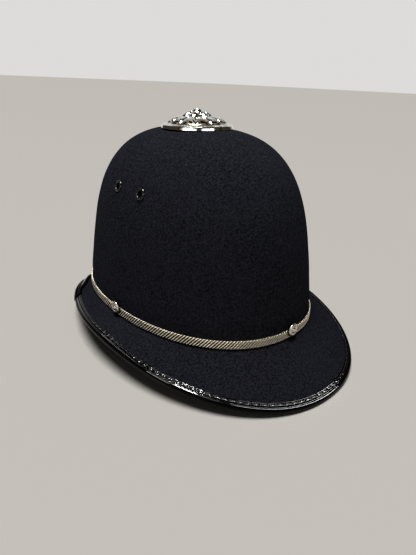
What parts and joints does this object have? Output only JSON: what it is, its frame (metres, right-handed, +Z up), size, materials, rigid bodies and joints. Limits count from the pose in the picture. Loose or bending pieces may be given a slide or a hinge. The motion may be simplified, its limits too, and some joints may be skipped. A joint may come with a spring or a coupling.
{
  "type": "custodian helmet",
  "caption": "Tall oval felt helmet with a drooping bound brim, a wire chain band on studs, side vent eyelets and a pierced metal rose on the top.",
  "frame": {"origin": "on the surface the helmet rests on, under the middle of the brim", "axes": "+Z up, the front of the helmet faces -Y, the wearer's right side is -X"},
  "size_m": [0.2364, 0.3204, 0.2054],
  "materials": {
    "felt": "matt wool felt, very dark navy",
    "patent_leather": "glossy black patent",
    "silver_wire": "bright twisted wire with a warm tone",
    "chrome": "polished plate",
    "black_metal": "glossy black lacquer"
  },
  "bodies": {
    "root": {"crown": "felt", "brim": "felt", "edge_binding": "patent_leather", "chain_band": "silver_wire", "stud_front": "chrome", "stud_back": "chrome", "stud_left": "chrome", "stud_right": "chrome", "eyelet_right_front": "black_metal", "eyelet_right_rear": "black_metal", "eyelet_left_front": "black_metal", "eyelet_left_rear": "black_metal", "rose": "chrome"}
  },
  "joints": []
}
